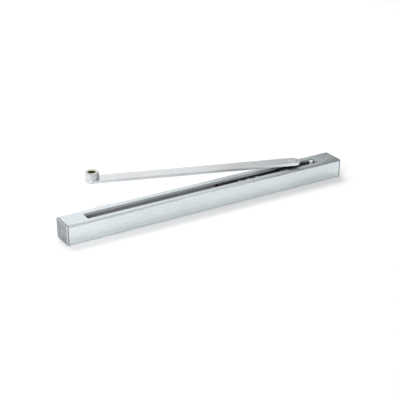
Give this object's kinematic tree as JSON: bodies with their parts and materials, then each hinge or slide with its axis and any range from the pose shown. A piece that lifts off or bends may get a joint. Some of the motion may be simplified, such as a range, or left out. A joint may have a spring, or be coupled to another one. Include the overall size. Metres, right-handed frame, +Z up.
{
  "type": "door closer",
  "caption": "Slim door closer: a slotted aluminium box with a spring-driven carriage inside and a flat pivoting arm that ends in a brass-bushed boss.",
  "frame": {"origin": "centre of the underside of the box, on which it lies", "axes": "+X along the box towards the closed end of the travel, +Y towards the door leaf, +Z up out of the slot"},
  "size_m": [0.44, 0.1178, 0.0457],
  "materials": {
    "satin_aluminium": "clear anodised, fine satin",
    "rail_aluminium": "extruded, natural anodised",
    "arm_finish": "satin silver coat on steel",
    "turned_steel": "turned and plated, fairly bright",
    "brass": "machined",
    "zinc_steel": "zinc plated",
    "hard_chrome": "ground and polished",
    "die_cast": "bare zinc casting, dull grey",
    "tube_paint": "black stove enamel",
    "black_plastic": "moulded, slightly grained",
    "blackened_steel": "blackened, oiled",
    "white_acetal": "natural acetal",
    "rubber": "moulded",
    "bare_aluminium": "machined"
  },
  "bodies": {
    "housing": {"mounting_rail": "rail_aluminium", "cover_profile": "satin_aluminium", "left_end_cap": "satin_aluminium", "right_end_cap": "satin_aluminium", "end_cap_screws": "zinc_steel", "left_end_block": "die_cast", "right_end_block": "die_cast", "end_block_screws": "zinc_steel", "closed_buffer": "rubber", "gas_tube": "tube_paint", "tube_end_plug": "bare_aluminium", "anchor_nut": "zinc_steel", "rod_guide": "brass", "rod_seal": "rubber", "guide_ring": "zinc_steel", "tube_cradles": "white_acetal"},
    "carriage": {"carriage_saddle": "black_plastic", "carriage_plate": "blackened_steel", "carriage_screws": "zinc_steel", "slot_shoe": "black_plastic", "pivot_collar": "blackened_steel", "thrust_washer": "white_acetal", "pivot_pin": "arm_finish", "coupling_pin": "hard_chrome", "coupling_pin_ring": "zinc_steel", "rod_end": "zinc_steel", "piston_rod": "hard_chrome", "piston": "bare_aluminium", "piston_ring": "rubber", "roller_pins": "zinc_steel"},
    "arm": {"arm_bar": "arm_finish", "arm_boss": "turned_steel", "boss_bush": "brass", "pivot_bush": "brass"},
    "roller_back_left": {"roller_back_left": "white_acetal"},
    "roller_back_right": {"roller_back_right": "white_acetal"},
    "roller_front_left": {"roller_front_left": "white_acetal"},
    "roller_front_right": {"roller_front_right": "white_acetal"}
  },
  "joints": [
    {"name": "carriage_slide", "type": "slide", "parent": "housing", "child": "carriage", "axis": [-1, 0, 0], "range_m": [0, 0.15], "stiffness_N_per_m": 200, "springref_m": -0.35},
    {"name": "arm_pivot", "type": "hinge", "parent": "carriage", "child": "arm", "pos_m": [0.1444, 0, 0.0337], "axis": [0, 0, 1], "range_deg": [-102, 18]},
    {"name": "back_left_roller_turn", "type": "hinge", "parent": "carriage", "child": "roller_back_left", "pos_m": [0.038, 0.0109, 0.02], "axis": [0, 0, 1], "continuous": true},
    {"name": "back_right_roller_turn", "type": "hinge", "parent": "carriage", "child": "roller_back_right", "pos_m": [0.163, 0.0109, 0.02], "axis": [0, 0, 1], "continuous": true},
    {"name": "front_left_roller_turn", "type": "hinge", "parent": "carriage", "child": "roller_front_left", "pos_m": [0.038, -0.0103, 0.02], "axis": [0, 0, 1], "continuous": true},
    {"name": "front_right_roller_turn", "type": "hinge", "parent": "carriage", "child": "roller_front_right", "pos_m": [0.163, -0.0103, 0.02], "axis": [0, 0, 1], "continuous": true}
  ],
  "couplings": [
    {"joint": "back_left_roller_turn", "follows": "carriage_slide", "rad_per_m": -285.71},
    {"joint": "back_right_roller_turn", "follows": "carriage_slide", "rad_per_m": -285.71},
    {"joint": "front_left_roller_turn", "follows": "carriage_slide", "rad_per_m": 285.71},
    {"joint": "front_right_roller_turn", "follows": "carriage_slide", "rad_per_m": 285.71}
  ]
}
